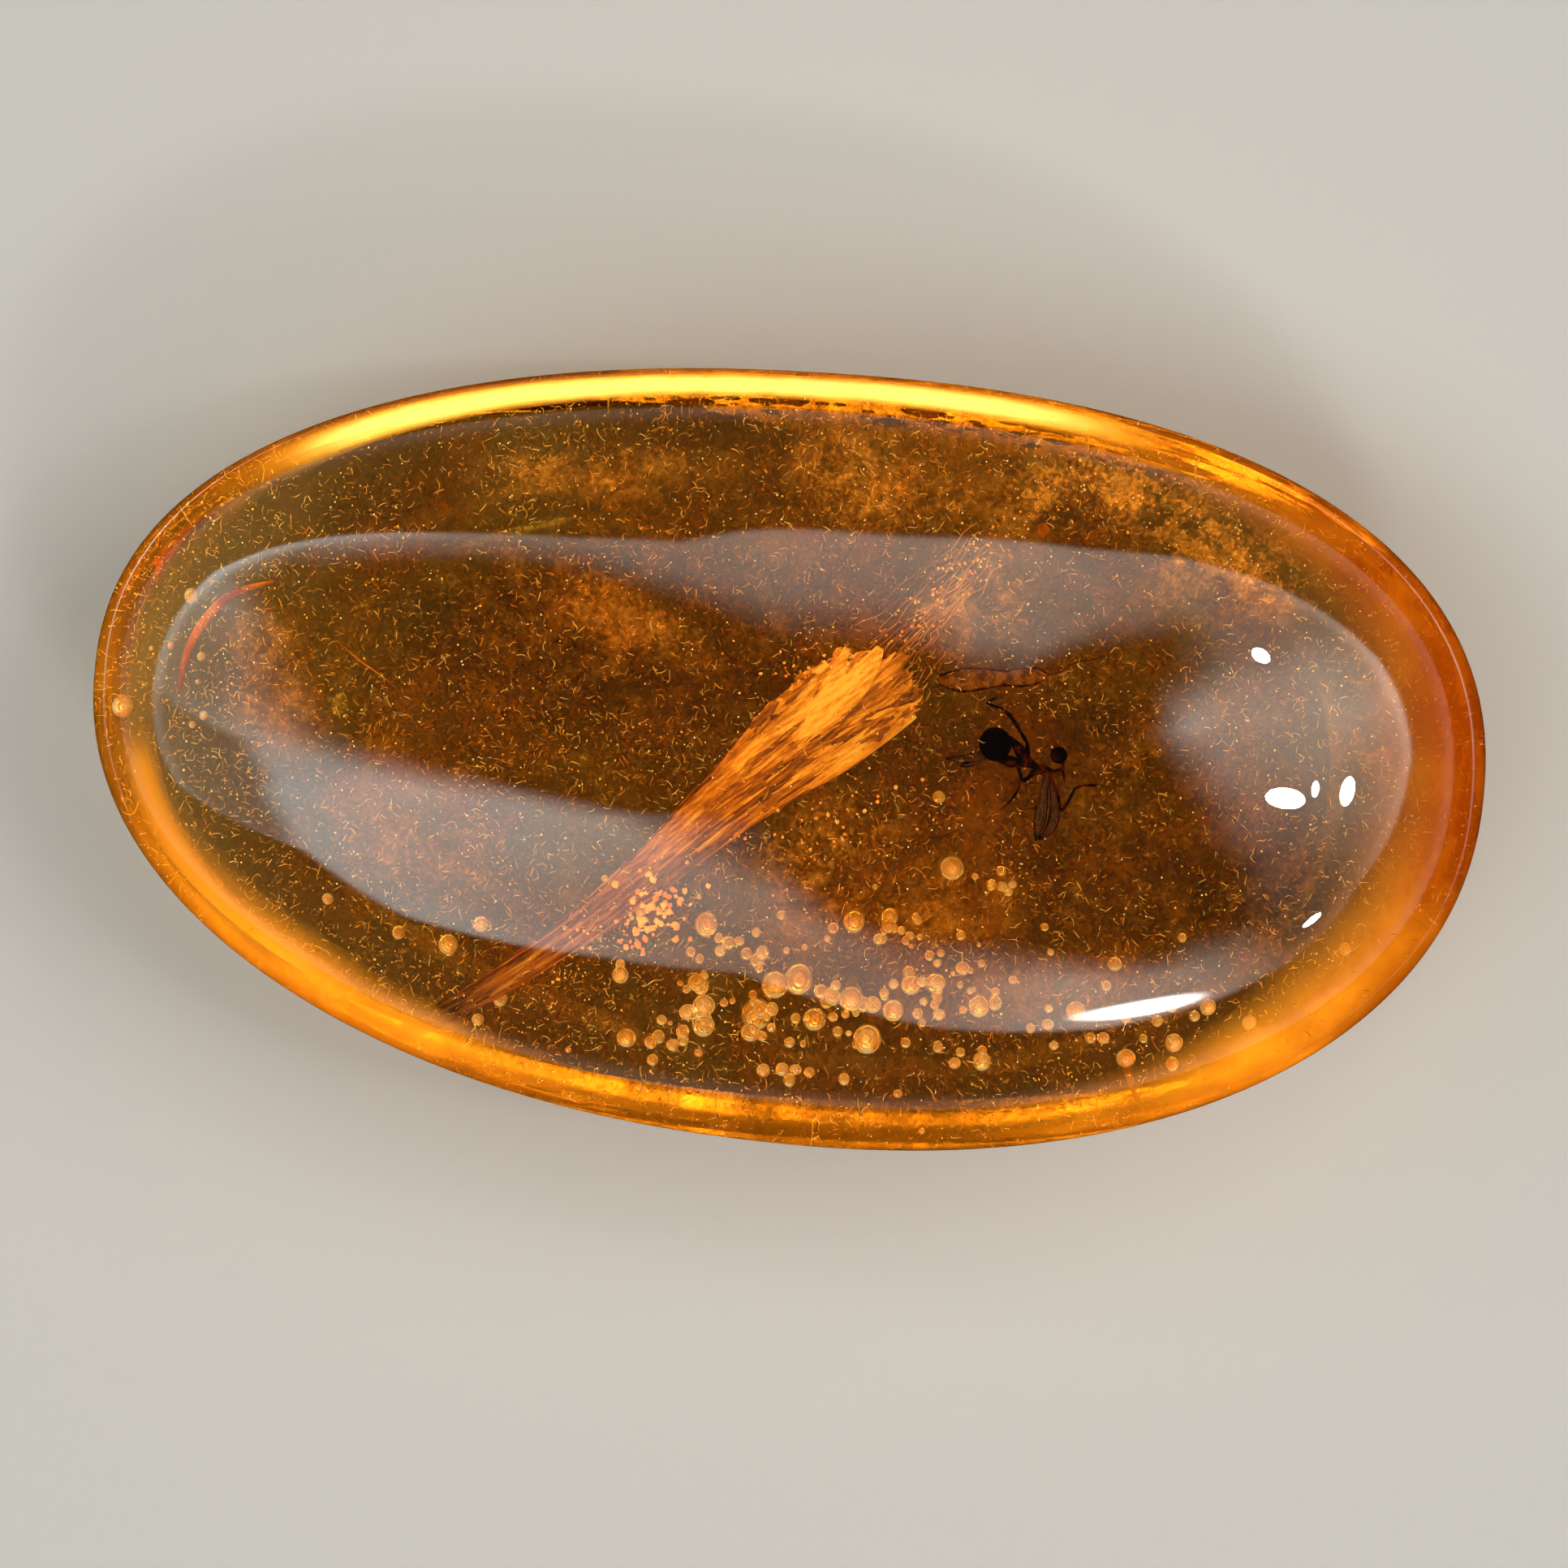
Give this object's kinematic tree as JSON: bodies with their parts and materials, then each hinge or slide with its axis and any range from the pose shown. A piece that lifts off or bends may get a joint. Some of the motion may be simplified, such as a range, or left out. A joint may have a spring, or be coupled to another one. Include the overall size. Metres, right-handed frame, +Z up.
{
  "type": "insect in amber",
  "caption": "Polished amber pebble with a small winged insect, a wood splinter and a seed husk sealed in the clear stone.",
  "frame": {"origin": "middle of the stone's footprint, on the surface that its worn flat back rests on", "axes": "+Z up through the dome, +X along the stone's long axis towards the end that holds the insect, +Y across it"},
  "size_m": [0.036, 0.02, 0.01],
  "materials": {
    "amber_upper": "hand-polished clear golden amber, IOR 1.54",
    "amber_lower": "hand-polished clear golden amber, IOR 1.54",
    "insect": "dark brown, half-glossy insect shell",
    "wood_splinter": "torn golden wood fibres soaked with resin",
    "seed_husk": "thin dry brown husk"
  },
  "bodies": {
    "root": {"amber_upper": "amber_upper", "amber_lower": "amber_lower", "insect": "insect", "wood_splinter": "wood_splinter", "seed_husk": "seed_husk"}
  },
  "joints": []
}
